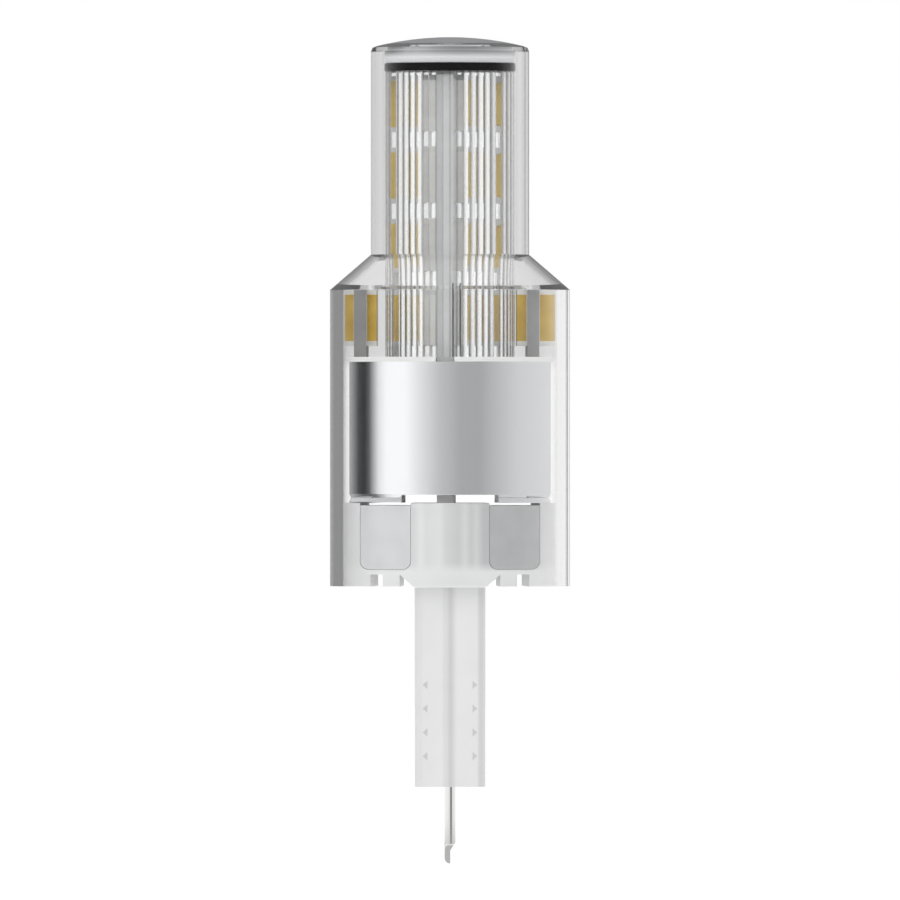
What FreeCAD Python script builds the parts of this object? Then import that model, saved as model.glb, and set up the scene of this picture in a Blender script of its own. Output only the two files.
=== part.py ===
# LED capsule lamp with a flat two-loop plug base.
# A clear stepped housing holds a two-sided LED board, a fluted light tube, a metal sleeve
# round the driver, and a translucent base plug with two wire contact loops.
#
# Frame: +Z is up along the lamp's axis. z = 0 is the underside of the barrel, the plane that seats
# on the lampholder. The two contact loops stand one behind the other along Y, and the board lies
# in the YZ plane, so its LEDs face left (-X) and right (+X). All sizes are in millimetres.

import FreeCAD, Part
import os
from math import cos, pi, sin, sqrt

# Housing, one clear moulding: barrel, sloping shoulder and narrow tube
BARREL_RADIUS = 7.5
TUBE_RADIUS = 4.95
HOUSING_WALL = 0.8
BARREL_HEIGHT = 18.5
SHOULDER_HEIGHT = 2.2
TUBE_LENGTH = 12.95
CROWN_RISE = 0.65
RIM_ROUNDING = 0.35

# Fits between neighbours
SLIP_FIT = 0.05
LOOSE_FIT = 0.1

# Cap and gasket at the top of the tube
CAP_HEIGHT = 1.0
CAP_BULGE = 0.14
GASKET_THICKNESS = 0.5
GASKET_CHAMFER = 0.05

# Fluted light tube
FLUTE_COUNT = 56
FLUTE_DEPTH = 0.2
LIGHT_TUBE_WALL = 0.6

# Circuit board, carrying the LEDs above and the driver below
BOARD_THICKNESS = 1.0
BOARD_OFFSET_X = -0.3
BOARD_TUBE_HALF_WIDTH = 3.1
BOARD_DRIVER_GAP = 0.7
BOARD_SEAT_DEPTH = 0.3
BOARD_CORNER = 0.2

# LEDs: a moulded case with a phosphor window
LED_HEIGHT = 3.5
LED_WIDTH = 2.8
LED_THICKNESS = 0.7
LED_TOP_GAP = 0.25
LED_COLUMN_PITCH = 2.95
LED_ROWS = 4
LED_COLUMNS = 2
WINDOW_HEIGHT = 2.9
WINDOW_WIDTH = 2.1
WINDOW_DEPTH = 0.4
WINDOW_CORNER = 0.35
PHOSPHOR_DIP = 0.03
POLARITY_NOTCH = 0.35

# Two side boards that stand on the disc beside the light tube, with an LED on each face
SIDE_BOARD_OFFSET_X = -0.2
SIDE_BOARD_THICKNESS = 0.7
SIDE_LED_BASE = 0.06

# Metal sleeve round the driver, with a crimped groove at its foot and a reflector disc on top
SLEEVE_GAP = 0.4
SLEEVE_WALL = 0.35
SLEEVE_GROOVE_HEIGHT = 0.5
SLEEVE_GROOVE_DEPTH = 0.12
SLEEVE_FOOT_BAND = 0.06
SLEEVE_NOTCH_WIDTH = 5.8
SLEEVE_NOTCH_HEIGHT = 0.5
DISC_THICKNESS = 0.3
DISC_LED_GAP = 0.7

# Base plug: floor, middle column and two side posts inside the barrel, and a flat stem below
PLUG_HEIGHT = 5.2
PLUG_FLOOR = 1.05
COLUMN_WIDTH = 4.7
CHAMBER_WIDTH = 3.6
CHAMBER_END_WALL = 0.7
POCKET_REACH = 5.3
POCKET_FILLET = 0.5
POTTING_DROP = 0.15
POTTING_FIT = 0.02
GUSSET_REACH = 0.8
GROOVE_DEPTH = 0.75
OUTER_GROOVE = (4.0, 4.7)
GUIDE_OVERLAP = 0.6
STEM_LENGTH = 12.45
STEM_THICKNESS = 4.4
STEM_SIDE_WALL = 0.45
STEM_CHAMFER = 0.3
STEM_END_WALL = 2.0
STEM_BORE_THICKNESS = 0.9
GRIP_TOP = 4.6
GRIP_BOTTOM = 11.7
GRIP_WIDTH = 9.2
GRIP_DEPTH = 0.75
TOOTH_COUNT = 4
TOOTH_PITCH = 1.48
TOOTH_FIRST = 6.1
TOOTH_RISE = 0.3
TOOTH_BASE = 0.5

# Contact loops of round wire
CONTACT_SPACING = 9.0
WIRE_DIAMETER = 0.7
LOOP_LEG_SPACING = 1.8
LOOP_REACH = 4.8
WIRE_SOLDERED_LENGTH = 2.0
SHORT_LEG_INSIDE = 1.2
COINED_THICKNESS = 0.37
COINED_LENGTH = 0.85
COINED_TAPER = 0.5

# Driver parts on the board, inside the sleeve
CAPACITOR_SIDE_GAP = 0.65
CAPACITOR_FOOT_GAP = 1.0
CAPACITOR_HEAD_GAP = 0.8
CAPACITOR_GROOVE = 0.25
CAPACITOR_LEAD = 0.5
LEG_THICKNESS = 0.2
RECTIFIER_DEPTH = 1.6
RECTIFIER_WIDTH = 4.7
RECTIFIER_LEG_WIDTH = 0.7
CHIP_SIZE = (1.2, 2.9, 1.7)
CHIP_LEG_WIDTH = 0.4
INPUT_CAPACITOR_SIZE = (1.2, 3.2, 1.6)
INPUT_CAPACITOR_LEG_WIDTH = 2.6
DRIVER_PART_GAP = 0.5
CHIP_FOOT_GAP = 0.7
RESISTOR_DIAMETER = 1.1
RESISTOR_LENGTH = 3.6

# Places that follow from the sizes above
AXIS = FreeCAD.Vector(0, 0, 1)
ORIGIN = FreeCAD.Vector(0, 0, 0)
BARREL_BORE = BARREL_RADIUS - HOUSING_WALL
TUBE_BORE = TUBE_RADIUS - HOUSING_WALL
SHOULDER_TOP = BARREL_HEIGHT + SHOULDER_HEIGHT
RIM_HEIGHT = SHOULDER_TOP + TUBE_LENGTH
LED_ROW_TOP = BARREL_HEIGHT
LED_LOWEST_CENTRE = LED_ROW_TOP - LED_HEIGHT / 2
DISC_RADIUS = BARREL_BORE - 2 * LOOSE_FIT
SLEEVE_RADIUS = BARREL_BORE - SLEEVE_GAP
SLEEVE_BOTTOM = PLUG_HEIGHT
BOARD_BOTTOM = PLUG_HEIGHT - BOARD_SEAT_DEPTH
DISC_TOP = LED_ROW_TOP - LED_HEIGHT - DISC_LED_GAP
SLEEVE_TOP = DISC_TOP - DISC_THICKNESS
SLEEVE_HEIGHT = SLEEVE_TOP - SLEEVE_BOTTOM
CAPACITOR_LENGTH = SLEEVE_HEIGHT - CAPACITOR_FOOT_GAP - CAPACITOR_HEAD_GAP
CROWN_RADIUS = (TUBE_RADIUS ** 2 + CROWN_RISE ** 2) / (2 * CROWN_RISE)
CROWN_CENTRE = RIM_HEIGHT + CROWN_RISE - CROWN_RADIUS
CAP_BOTTOM = RIM_HEIGHT - CAP_HEIGHT
GASKET_BOTTOM = CAP_BOTTOM - GASKET_THICKNESS
LIGHT_TUBE_RADIUS = TUBE_BORE - LOOSE_FIT
BOARD_LEFT = BOARD_OFFSET_X - BOARD_THICKNESS / 2
BOARD_RIGHT = BOARD_OFFSET_X + BOARD_THICKNESS / 2
BOARD_TOP = GASKET_BOTTOM - SLIP_FIT
DRIVER_ROOM = SLEEVE_RADIUS - SLEEVE_WALL
BOARD_DRIVER_HALF_WIDTH = sqrt(DRIVER_ROOM ** 2 - BOARD_LEFT ** 2) - BOARD_DRIVER_GAP
CAPACITOR_DIAMETER = DRIVER_ROOM - BOARD_RIGHT - LOOSE_FIT - CAPACITOR_SIDE_GAP
LED_HIGHEST_CENTRE = GASKET_BOTTOM - LED_TOP_GAP - LED_HEIGHT / 2
LED_ROW_PITCH = (LED_HIGHEST_CENTRE - LED_LOWEST_CENTRE) / (LED_ROWS - 1)
SIDE_ROOM_INSIDE = LIGHT_TUBE_RADIUS + LOOSE_FIT
SIDE_ROOM_OUTSIDE = sqrt((BARREL_BORE - LOOSE_FIT) ** 2 - (WINDOW_WIDTH / 2) ** 2)
SIDE_BOARD_REACH = (SIDE_ROOM_INSIDE + SIDE_ROOM_OUTSIDE) / 2
SIDE_LED_ROOM = (SIDE_ROOM_OUTSIDE - SIDE_ROOM_INSIDE - SIDE_BOARD_THICKNESS) / 2
SIDE_LED_THICKNESS = SIDE_LED_ROOM - abs(SIDE_BOARD_OFFSET_X)
SIDE_FOOT_WIDTH = 3 * LED_WIDTH / 4
STEM_BOTTOM = -STEM_LENGTH
INNER_LEG = CONTACT_SPACING / 2 - LOOP_LEG_SPACING / 2
OUTER_LEG = CONTACT_SPACING / 2 + LOOP_LEG_SPACING / 2
PLUG_RADIUS = BARREL_BORE - LOOSE_FIT
STEM_BORE_WIDTH = CONTACT_SPACING + LOOP_LEG_SPACING + WIRE_DIAMETER + 2 * LOOSE_FIT
STEM_WIDTH = STEM_BORE_WIDTH + 2 * STEM_SIDE_WALL

# How far a cutting tool runs past what it cuts
OVERRUN = 1.0


def box(x_range, y_range, z_range):
    """A box between two values on each axis."""
    size = [high - low for low, high in (x_range, y_range, z_range)]
    corner = FreeCAD.Vector(x_range[0], y_range[0], z_range[0])
    return Part.makeBox(size[0], size[1], size[2], corner)


def rod(radius, bottom, top):
    """A cylinder on the lamp's axis."""
    return Part.makeCylinder(radius, top - bottom, FreeCAD.Vector(0, 0, bottom), AXIS)


def lathe(edges):
    """A solid turned about Z from the closed outline that edges make in the XZ plane."""
    face = Part.Face(Part.Wire(edges))
    return face.revolve(ORIGIN, AXIS, 360)


def outline_edges(points):
    """Straight edges through (radius, height) points, in the XZ plane, left open at the end."""
    spots = [FreeCAD.Vector(radius, 0, height) for radius, height in points]
    return [Part.LineSegment(a, b).toShape() for a, b in zip(spots, spots[1:])]


def prism_x(points, x_low, x_high):
    """A closed outline of (y, z) points, carried from x_low to x_high."""
    spots = [FreeCAD.Vector(x_low, y, z) for y, z in points]
    face = Part.Face(Part.makePolygon(spots + spots[:1]))
    return face.extrude(FreeCAD.Vector(x_high - x_low, 0, 0))


def prism_y(points, y_low, y_high):
    """A closed outline of (x, z) points, carried from y_low to y_high."""
    spots = [FreeCAD.Vector(x, y_low, z) for x, z in points]
    face = Part.Face(Part.makePolygon(spots + spots[:1]))
    return face.extrude(FreeCAD.Vector(0, y_high - y_low, 0))


def crown_height(radius):
    """Height of the crown, the shallow dome over the cap and the tube's rim, at a radius."""
    return CROWN_CENTRE + sqrt(CROWN_RADIUS ** 2 - radius ** 2)


def crown_arc(inner, outer):
    """The crown's arc from an inner to an outer radius, in the XZ plane."""
    ends = [FreeCAD.Vector(r, 0, crown_height(r)) for r in (inner, (inner + outer) / 2, outer)]
    return Part.Arc(*ends).toShape()


def edges_at(shape, height, radius=None):
    """Edges that lie flat at a height and, where a radius is given, are circles of that radius."""
    near = 1e-4
    flat = [
        e for e in shape.Edges
        if abs(e.BoundBox.ZMin - height) < near and abs(e.BoundBox.ZMax - height) < near
    ]
    if radius is None:
        return flat
    return [e for e in flat if hasattr(e.Curve, "Radius") and abs(e.Curve.Radius - radius) < near]


def edges_along_x(shape):
    """Straight edges that run along X."""
    near = 1e-4
    return [e for e in shape.Edges if e.BoundBox.YLength < near and e.BoundBox.ZLength < near]


def clear_housing():
    """Barrel, shoulder and tube as one turned shell, open below, with the cap's seat at the top."""
    rim_inside = crown_height(TUBE_BORE)
    soft = min(RIM_ROUNDING, HOUSING_WALL / 2)
    rim_outside = crown_height(TUBE_RADIUS - soft)
    outline = [
        (BARREL_RADIUS, 0),
        (BARREL_RADIUS, BARREL_HEIGHT),
        (TUBE_RADIUS, SHOULDER_TOP),
        (TUBE_RADIUS, rim_outside - soft),
        (TUBE_RADIUS - soft * (1 - sqrt(0.5)), rim_outside - soft * (1 - sqrt(0.5))),
        (TUBE_RADIUS - soft, rim_outside),
        (TUBE_BORE, rim_inside),
        (TUBE_BORE, SHOULDER_TOP),
        (BARREL_BORE, BARREL_HEIGHT),
        (BARREL_BORE, 0),
        (BARREL_RADIUS, 0),
    ]
    return lathe(outline_edges(outline))


def top_cap():
    """Domed plug in the tube's mouth, with a flank that bulges a little between its two rims."""
    widest = TUBE_BORE - SLIP_FIT
    rims = widest - CAP_BULGE / 2, widest - CAP_BULGE
    top = crown_height(rims[0])
    rise = top - CAP_BOTTOM
    flank = [(0, crown_height(0)), (0, CAP_BOTTOM), (rims[1], CAP_BOTTOM)]
    flank += [(widest - CAP_BULGE / 4, CAP_BOTTOM + rise / 4), (widest, CAP_BOTTOM + rise / 2)]
    flank.append((rims[0], top))
    return lathe(outline_edges(flank) + [crown_arc(0, rims[0])])


def cap_gasket():
    """Sealing disc with broken edges, between the cap and the light tube."""
    radius = TUBE_BORE - SLIP_FIT
    disc = rod(radius, GASKET_BOTTOM, CAP_BOTTOM)
    rims = edges_at(disc, GASKET_BOTTOM, radius) + edges_at(disc, CAP_BOTTOM, radius)
    return disc.makeChamfer(GASKET_CHAMFER, rims)


def flute_outline(valley, tip, count):
    """Closed outline of prism ribs that point at the axis: valleys and tips at those radii."""
    half_step = pi / count
    spots = []
    for number in range(2 * count):
        radius = tip if number % 2 else valley
        angle = number * half_step
        spots.append(FreeCAD.Vector(radius * cos(angle), radius * sin(angle), 0))
    return Part.makePolygon(spots + spots[:1])


def fluted_light_tube():
    """Clear tube with prism ribs inside, from the disc up to the gasket."""
    tip = LIGHT_TUBE_RADIUS - LIGHT_TUBE_WALL
    bore = Part.Face(flute_outline(tip + FLUTE_DEPTH, tip, FLUTE_COUNT))
    bore = bore.extrude(FreeCAD.Vector(0, 0, GASKET_BOTTOM - DISC_TOP))
    bore.translate(FreeCAD.Vector(0, 0, DISC_TOP))
    return rod(LIGHT_TUBE_RADIUS, DISC_TOP, GASKET_BOTTOM).cut(bore)


def circuit_board():
    """One board from base to cap, narrow above the sleeve, notched at its foot for the wires."""
    half = [
        (BOARD_DRIVER_HALF_WIDTH, BOARD_BOTTOM),
        (BOARD_DRIVER_HALF_WIDTH, SLEEVE_TOP - SLIP_FIT),
        (BOARD_TUBE_HALF_WIDTH, SLEEVE_TOP - SLIP_FIT),
        (BOARD_TUBE_HALF_WIDTH, BOARD_TOP - BOARD_CORNER),
        (BOARD_TUBE_HALF_WIDTH - BOARD_CORNER, BOARD_TOP),
    ]
    outline = half + [(-y, z) for y, z in reversed(half)]
    board = prism_x(outline, BOARD_LEFT, BOARD_RIGHT)
    across = (BOARD_LEFT - OVERRUN, BOARD_RIGHT + OVERRUN)
    for side in (-1, 1):
        half_notch = WIRE_DIAMETER / 2 + SLIP_FIT
        centre = side * INNER_LEG
        notch_z = (BOARD_BOTTOM - OVERRUN, BOARD_BOTTOM + WIRE_SOLDERED_LENGTH + SLIP_FIT)
        board = board.cut(box(across, (centre - half_notch, centre + half_notch), notch_z))
    return board


def led(side, centre):
    """Case and phosphor of one LED on the board's left (-1) or right (1) face, at (y, z)."""
    face = BOARD_OFFSET_X + side * BOARD_THICKNESS / 2
    front = face + side * LED_THICKNESS
    y, z = centre
    y_range = (y - LED_WIDTH / 2, y + LED_WIDTH / 2)
    z_range = (z - LED_HEIGHT / 2, z + LED_HEIGHT / 2)
    case = box(sorted((face, front)), y_range, z_range)
    window_y = (y - WINDOW_WIDTH / 2, y + WINDOW_WIDTH / 2)
    window_z = (z - WINDOW_HEIGHT / 2, z + WINDOW_HEIGHT / 2)
    window = box(sorted((front, front - side * WINDOW_DEPTH)), window_y, window_z)
    window = window.makeChamfer(WINDOW_CORNER, edges_along_x(window))
    surface = front - side * PHOSPHOR_DIP
    trim = box(sorted((surface, front + side * OVERRUN)), y_range, z_range)
    notch = [(y_range[0], z_range[1]), (y_range[0] + POLARITY_NOTCH, z_range[1])]
    notch.append((y_range[0], z_range[1] - POLARITY_NOTCH))
    notch = prism_x(notch, face, front)
    return case.cut(window).cut(notch), window.cut(trim)


def led_places():
    """(row, column letter, (y, z)) of each LED on one face, rows counted from the cap down."""
    for row in range(1, LED_ROWS + 1):
        z = LED_LOWEST_CENTRE + (LED_ROWS - row) * LED_ROW_PITCH
        for column in range(LED_COLUMNS):
            y = (column - (LED_COLUMNS - 1) / 2) * LED_COLUMN_PITCH
            yield row, "abcdefgh"[column], (y, z)


def led_nodes():
    """Every LED's case and phosphor on the main board, each a node of its own."""
    nodes = {}
    for side, word in ((-1, "left"), (1, "right")):
        for row, column, centre in led_places():
            case, phosphor = led(side, centre)
            nodes[f"led_case_{word}_{row}{column}"] = case
            nodes[f"led_phosphor_{word}_{row}{column}"] = phosphor
    return nodes


def side_board_x(side):
    """X range of the left (-1) or right (1) side board."""
    middle = SIDE_BOARD_OFFSET_X + side * SIDE_BOARD_REACH
    return middle - SIDE_BOARD_THICKNESS / 2, middle + SIDE_BOARD_THICKNESS / 2


def side_board(side):
    """Small upright board beside the light tube, with a foot that stands in a slot of the disc."""
    half, half_foot = LED_WIDTH / 2, SIDE_FOOT_WIDTH / 2
    plate = box(side_board_x(side), (-half, half), (DISC_TOP, LED_ROW_TOP))
    foot = box(side_board_x(side), (-half_foot, half_foot), (SLEEVE_TOP, DISC_TOP))
    return plate.fuse(foot).removeSplitter()


def side_led(face, out, thickness):
    """Case and phosphor of an LED on a side board, facing along out, open at its two upright ends."""
    front = face + out * thickness
    half_y, half_z = WINDOW_WIDTH / 2, LED_HEIGHT / 2
    body_z = (LED_LOWEST_CENTRE - half_z, LED_LOWEST_CENTRE + half_z)
    body = box(sorted((face, front)), (-half_y, half_y), body_z)
    window_x = sorted((face + out * SIDE_LED_BASE, front))
    window_z = (LED_LOWEST_CENTRE - WINDOW_HEIGHT / 2, LED_LOWEST_CENTRE + WINDOW_HEIGHT / 2)
    window = box(window_x, (-half_y, half_y), window_z)
    return body.cut(window), window


def side_nodes():
    """Both side boards and the LED on each of their faces, inner ones towards the light tube."""
    nodes = {}
    for side, word in ((-1, "left"), (1, "right")):
        nodes[f"side_board_{word}"] = side_board(side)
        inner, outer = sorted(side_board_x(side), key=abs)
        outer_room = SIDE_ROOM_OUTSIDE - abs(outer)
        faces = (("inner", inner, -side, SIDE_LED_THICKNESS), ("outer", outer, side, outer_room))
        for place, face, out, thickness in faces:
            case, phosphor = side_led(face, out, thickness)
            nodes[f"led_case_side_{word}_{place}"] = case
            nodes[f"led_phosphor_side_{word}_{place}"] = phosphor
    return nodes


def reflector_disc():
    """White disc on the sleeve, slotted from the front for the board, with two slots for side boards."""
    disc = rod(DISC_RADIUS, SLEEVE_TOP, DISC_TOP)
    slot_x = (BOARD_LEFT - SLIP_FIT, BOARD_RIGHT + SLIP_FIT)
    slot_y = (-DISC_RADIUS - OVERRUN, BOARD_TUBE_HALF_WIDTH + SLIP_FIT)
    disc = disc.cut(box(slot_x, slot_y, (SLEEVE_TOP, DISC_TOP)))
    half_foot = SIDE_FOOT_WIDTH / 2 + SLIP_FIT
    for side in (-1, 1):
        low, high = side_board_x(side)
        slot = box((low - SLIP_FIT, high + SLIP_FIT), (-half_foot, half_foot), (SLEEVE_TOP, DISC_TOP))
        disc = disc.cut(slot)
    return disc


def metal_sleeve():
    """Thin drawn tube with a crimped groove at its foot, notched there at the front and back."""
    inner, outer = SLEEVE_RADIUS - SLEEVE_WALL, SLEEVE_RADIUS
    groove = SLEEVE_BOTTOM + SLEEVE_FOOT_BAND
    outline = [(inner, SLEEVE_BOTTOM), (outer, SLEEVE_BOTTOM), (outer, groove)]
    outline += [(outer - SLEEVE_GROOVE_DEPTH, groove + SLEEVE_GROOVE_HEIGHT / 2)]
    outline += [(outer, groove + SLEEVE_GROOVE_HEIGHT), (outer, SLEEVE_TOP), (inner, SLEEVE_TOP)]
    tube = lathe(outline_edges(outline + outline[:1]))
    half = SLEEVE_NOTCH_WIDTH / 2
    reach = SLEEVE_RADIUS + OVERRUN
    notch_z = (SLEEVE_BOTTOM - OVERRUN, SLEEVE_BOTTOM + SLEEVE_NOTCH_HEIGHT)
    return tube.cut(box((-half, half), (-reach, reach), notch_z))


def pocket(side, clearance):
    """Space beside the column on one side, open above, at a clearance from its walls and floor."""
    inner, outer = COLUMN_WIDTH / 2 + clearance, POCKET_REACH - clearance
    radius = PLUG_RADIUS - clearance
    x_range = sorted((side * inner, side * outer))
    trough = box(x_range, (-radius, radius), (PLUG_FLOOR + clearance, PLUG_HEIGHT + OVERRUN))
    floor_edges = edges_at(trough, PLUG_FLOOR + clearance)
    long_edges = [e for e in floor_edges if e.BoundBox.YLength > radius]
    return trough.makeFillet(POCKET_FILLET, long_edges)


def potting(side):
    """Block of potting compound that fills one pocket of the plug to just below its rim."""
    top = PLUG_HEIGHT - POTTING_DROP
    return pocket(side, POTTING_FIT).common(rod(PLUG_RADIUS, PLUG_FLOOR, top))


def floor_grooves(side):
    """Two grooves right across under the floor: one leaves a sloping gusset at the stem, one is square."""
    gusset_foot = side * STEM_THICKNESS / 2
    gusset_top = side * (STEM_THICKNESS / 2 + GUSSET_REACH)
    half = PLUG_RADIUS + OVERRUN
    sloping = [(gusset_foot, -OVERRUN), (gusset_foot, 0), (gusset_top, GROOVE_DEPTH)]
    sloping.append((gusset_top, -OVERRUN))
    low, high = (side * place for place in OUTER_GROOVE)
    square = box(sorted((low, high)), (-half, half), (-OVERRUN, GROOVE_DEPTH))
    return prism_y(sloping, -half, half).fuse(square)


def plug_body():
    """The plug's part inside the barrel: a disc cut away to floor, column and side posts."""
    body = rod(PLUG_RADIUS, 0, PLUG_HEIGHT)
    for side in (-1, 1):
        body = body.cut(pocket(side, 0))
        body = body.cut(floor_grooves(side))
    half, end = CHAMBER_WIDTH / 2, PLUG_RADIUS - CHAMBER_END_WALL
    chamber = box((-half, half), (-end, end), (PLUG_FLOOR, PLUG_HEIGHT + OVERRUN))
    return body.cut(chamber.common(rod(end, PLUG_FLOOR, PLUG_HEIGHT + OVERRUN)))


def stem_block():
    """The plug's flat stem, with chamfered long edges, before it is hollowed."""
    x, y = STEM_THICKNESS / 2, STEM_WIDTH / 2
    block = box((-x, x), (-y, y), (STEM_BOTTOM, PLUG_FLOOR))
    corners = [e for e in block.Edges if e.BoundBox.ZLength > STEM_LENGTH]
    block = block.makeChamfer(STEM_CHAMFER, corners)
    return block.common(rod(PLUG_RADIUS, STEM_BOTTOM, PLUG_FLOOR))


def grip_recess(side):
    """Recess in one flat face of the stem, less the row of sharp teeth that stand in it."""
    face = STEM_THICKNESS / 2
    floor = face - GRIP_DEPTH
    half = GRIP_WIDTH / 2
    reach = sorted((side * floor, side * (face + OVERRUN)))
    recess = box(reach, (-half, half), (-GRIP_BOTTOM, -GRIP_TOP))
    for number in range(TOOTH_COUNT):
        middle = -(TOOTH_FIRST + number * TOOTH_PITCH)
        outline = [
            (side * floor, middle - TOOTH_BASE / 2),
            (side * (floor + TOOTH_RISE), middle),
            (side * floor, middle + TOOTH_BASE / 2),
        ]
        recess = recess.cut(prism_y(outline, -half, half))
    return recess


def stem_hollow():
    """Room for the wires: a flat bore from the chamber's floor down to the stem's end wall."""
    x, y = STEM_BORE_THICKNESS / 2, STEM_BORE_WIDTH / 2
    return box((-x, x), (-y, y), (STEM_BOTTOM + STEM_END_WALL, PLUG_FLOOR))


def wire_bores():
    """Holes in the stem's end wall for the four wire legs."""
    radius = WIRE_DIAMETER / 2 + SLIP_FIT / 2
    holes = []
    for y in (-OUTER_LEG, -INNER_LEG, INNER_LEG, OUTER_LEG):
        foot = FreeCAD.Vector(0, y, STEM_BOTTOM - OVERRUN)
        holes.append(Part.makeCylinder(radius, STEM_END_WALL + 2 * OVERRUN, foot, AXIS))
    return holes


def board_guides():
    """Ribs at both ends of the chamber that hold the board's lower corners between them."""
    half, end = CHAMBER_WIDTH / 2, PLUG_RADIUS - CHAMBER_END_WALL / 2
    inner_end = BOARD_DRIVER_HALF_WIDTH - GUIDE_OVERLAP
    rib_z = (PLUG_FLOOR, PLUG_HEIGHT)
    ribs = []
    for side in (-1, 1):
        rib_y = sorted((side * inner_end, side * end))
        ribs.append(box((-half, BOARD_LEFT - SLIP_FIT), rib_y, rib_z))
        ribs.append(box((BOARD_RIGHT + SLIP_FIT, half), rib_y, rib_z))
        ribs.append(box((-half, half), rib_y, (PLUG_FLOOR, BOARD_BOTTOM)))
    return [rib.common(rod(PLUG_RADIUS, *rib_z)) for rib in ribs]


def base_plug():
    """Floor, column, posts, stem and grip as one translucent moulding."""
    body = plug_body().fuse(stem_block())
    for rib in board_guides():
        body = body.fuse(rib)
    body = body.cut(stem_hollow())
    for side in (-1, 1):
        body = body.cut(grip_recess(side))
    for hole in wire_bores():
        body = body.cut(hole)
    return body.removeSplitter()


def contact_loop(side):
    """One hairpin of wire: long leg up to the board, short leg held in the stem, flattened tip."""
    bend = STEM_BOTTOM - LOOP_REACH + WIRE_DIAMETER / 2 + LOOP_LEG_SPACING / 2
    long_top = BOARD_BOTTOM + WIRE_SOLDERED_LENGTH
    short_top = STEM_BOTTOM + STEM_END_WALL + SHORT_LEG_INSIDE
    inner, outer = side * INNER_LEG, side * OUTER_LEG
    start = FreeCAD.Vector(0, inner, long_top)
    turn = FreeCAD.Vector(0, inner, bend)
    lowest = FreeCAD.Vector(0, side * CONTACT_SPACING / 2, bend - LOOP_LEG_SPACING / 2)
    back = FreeCAD.Vector(0, outer, bend)
    end = FreeCAD.Vector(0, outer, short_top)
    path = Part.Wire([
        Part.LineSegment(start, turn).toShape(),
        Part.Arc(turn, lowest, back).toShape(),
        Part.LineSegment(back, end).toShape(),
    ])
    section = Part.Wire(Part.Circle(start, AXIS, WIRE_DIAMETER / 2).toShape())
    hairpin = path.makePipeShell([section], True, True)
    tip = STEM_BOTTOM - LOOP_REACH
    flat = COINED_THICKNESS - WIRE_DIAMETER / 2
    away = WIRE_DIAMETER
    coining = [
        (flat, tip - OVERRUN),
        (flat, tip + COINED_LENGTH),
        (WIRE_DIAMETER / 2, tip + COINED_LENGTH + COINED_TAPER),
        (away, tip + COINED_LENGTH + COINED_TAPER),
        (away, tip - OVERRUN),
    ]
    return hairpin.cut(prism_y(coining, -STEM_WIDTH / 2, STEM_WIDTH / 2))


def smoothing_capacitor():
    """Can with a crimp groove near its foot and two leads, upright beside the board."""
    radius = CAPACITOR_DIAMETER / 2
    foot = SLEEVE_BOTTOM + CAPACITOR_FOOT_GAP
    head = foot + CAPACITOR_LENGTH
    groove = foot + 4 * CAPACITOR_GROOVE
    outline = [(0, head), (0, foot), (radius, foot), (radius, groove - CAPACITOR_GROOVE)]
    outline += [(radius - CAPACITOR_GROOVE, groove), (radius, groove + CAPACITOR_GROOVE)]
    outline += [(radius, head), (0, head)]
    can = lathe(outline_edges(outline))
    can = can.makeChamfer(CAPACITOR_GROOVE, edges_at(can, head, radius))
    can.translate(FreeCAD.Vector(BOARD_RIGHT + LOOSE_FIT + radius, 0, 0))
    for side in (-1, 1):
        lead_y = (side * radius / 2 - CAPACITOR_LEAD / 2, side * radius / 2 + CAPACITOR_LEAD / 2)
        drop = foot - CAPACITOR_FOOT_GAP / 2
        down_x = (BOARD_RIGHT + radius, BOARD_RIGHT + radius + CAPACITOR_LEAD)
        down = box(down_x, lead_y, (drop, foot))
        across = box((BOARD_RIGHT, down_x[1]), lead_y, (drop, drop + CAPACITOR_LEAD / 2))
        can = can.fuse(down).fuse(across)
    return can.removeSplitter()


def flat_part(centre, size, legs_per_end, leg_width):
    """Moulded part on the board's left face: a body of (depth, y, z) size and legs at both ends."""
    depth, wide, tall = size
    y, z = centre
    body_x = (BOARD_LEFT - depth, BOARD_LEFT - LEG_THICKNESS / 2)
    body = box(body_x, (y - wide / 2, y + wide / 2), (z - tall / 2, z + tall / 2))
    body = body.makeChamfer(depth / 8, body.Edges)
    leg_x = (BOARD_LEFT - LEG_THICKNESS, BOARD_LEFT)
    leg_z = (z - tall / 2 - 2 * LEG_THICKNESS, z + tall / 2 + 2 * LEG_THICKNESS)
    for number in range(legs_per_end):
        middle = y + (number - (legs_per_end - 1) / 2) * wide / legs_per_end
        body = body.fuse(box(leg_x, (middle - leg_width / 2, middle + leg_width / 2), leg_z))
    return body.removeSplitter()


def round_resistor(side):
    """Round resistor, upright on the board's right face beside the capacitor."""
    radius = RESISTOR_DIAMETER / 2
    middle = (SLEEVE_BOTTOM + SLEEVE_TOP) / 2
    body = rod(radius, middle - RESISTOR_LENGTH / 2, middle + RESISTOR_LENGTH / 2)
    edge = BOARD_DRIVER_HALF_WIDTH - 2 * radius
    body.translate(FreeCAD.Vector(BOARD_RIGHT + radius, side * edge, 0))
    return body


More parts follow.
